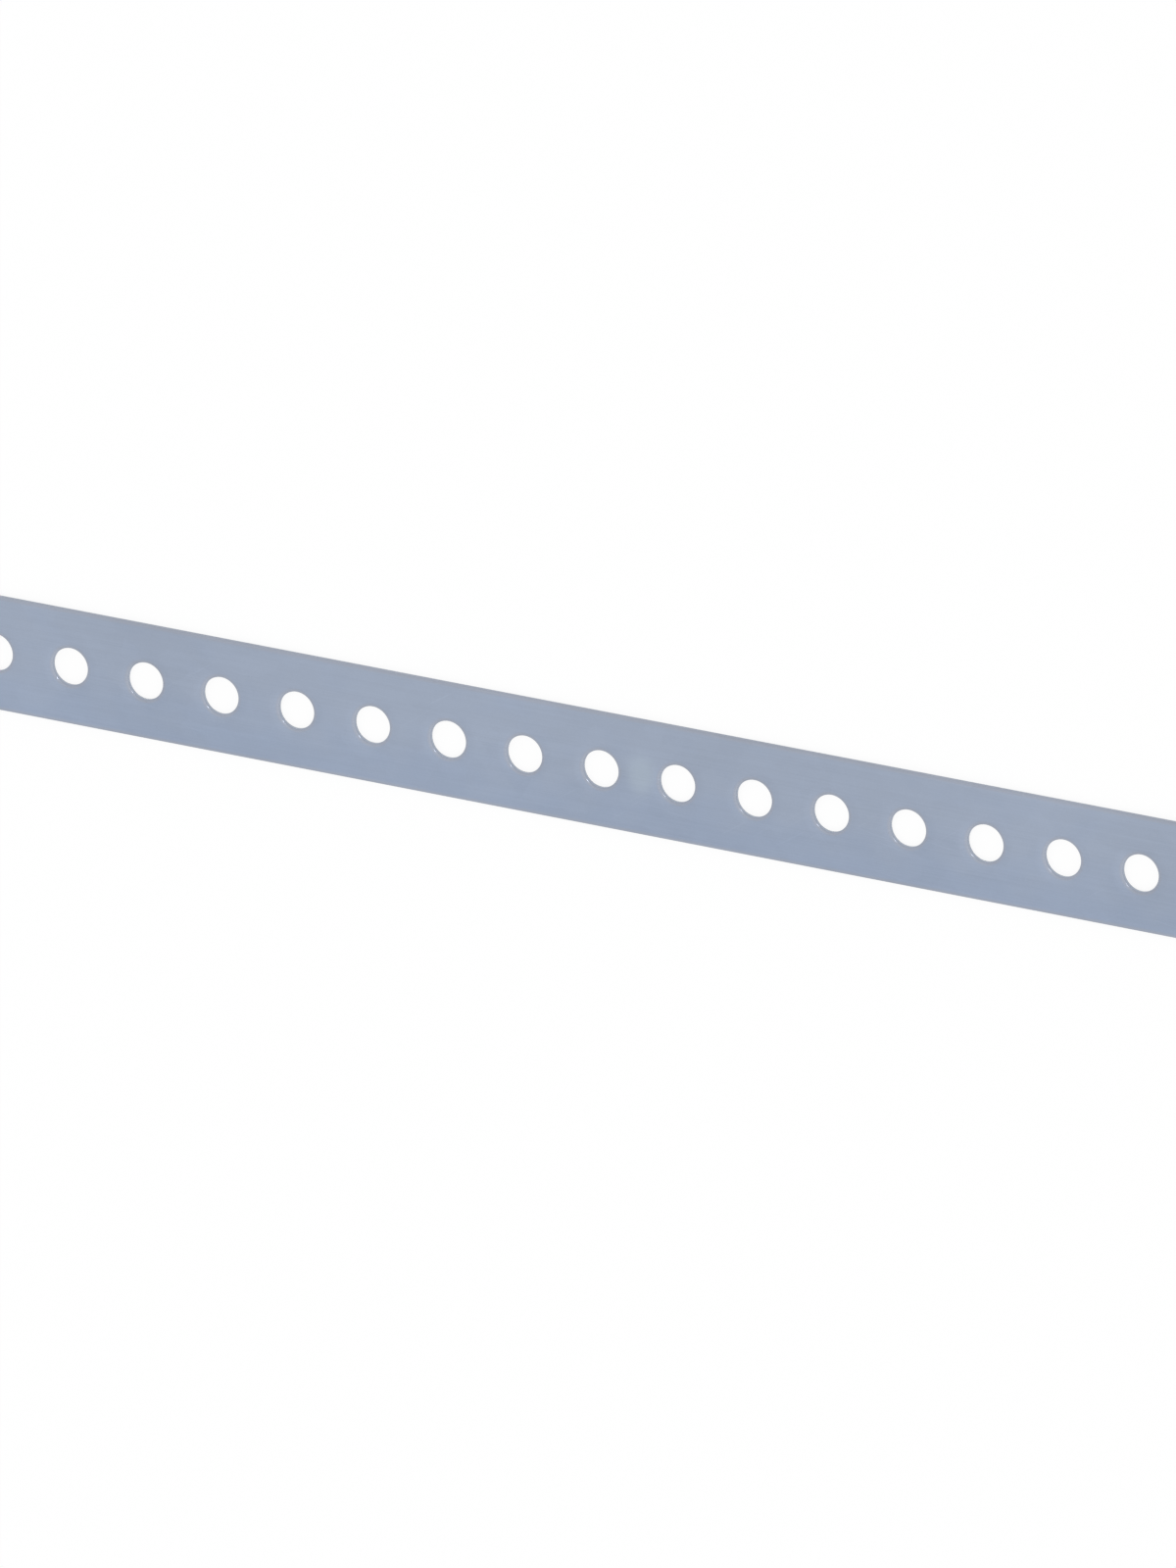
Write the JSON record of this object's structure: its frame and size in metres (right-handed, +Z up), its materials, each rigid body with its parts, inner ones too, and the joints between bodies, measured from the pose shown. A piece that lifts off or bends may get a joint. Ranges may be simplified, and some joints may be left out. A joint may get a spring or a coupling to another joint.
{
  "type": "perforated mounting strap",
  "caption": "Flat zinc-plated steel band with a row of evenly spaced punched round holes, cut square at both ends, for hanging or fixing cables, pipes and ducts.",
  "frame": {"origin": "middle of the strap's underside", "axes": "+X along the strap, +Y across its width, +Z up through its thickness, out of the face with the rolled hole rims"},
  "size_m": [1, 0.017, 0.0008],
  "materials": {
    "zinc_plated_steel": "satin"
  },
  "bodies": {
    "root": {"strap": "zinc_plated_steel"}
  },
  "joints": []
}
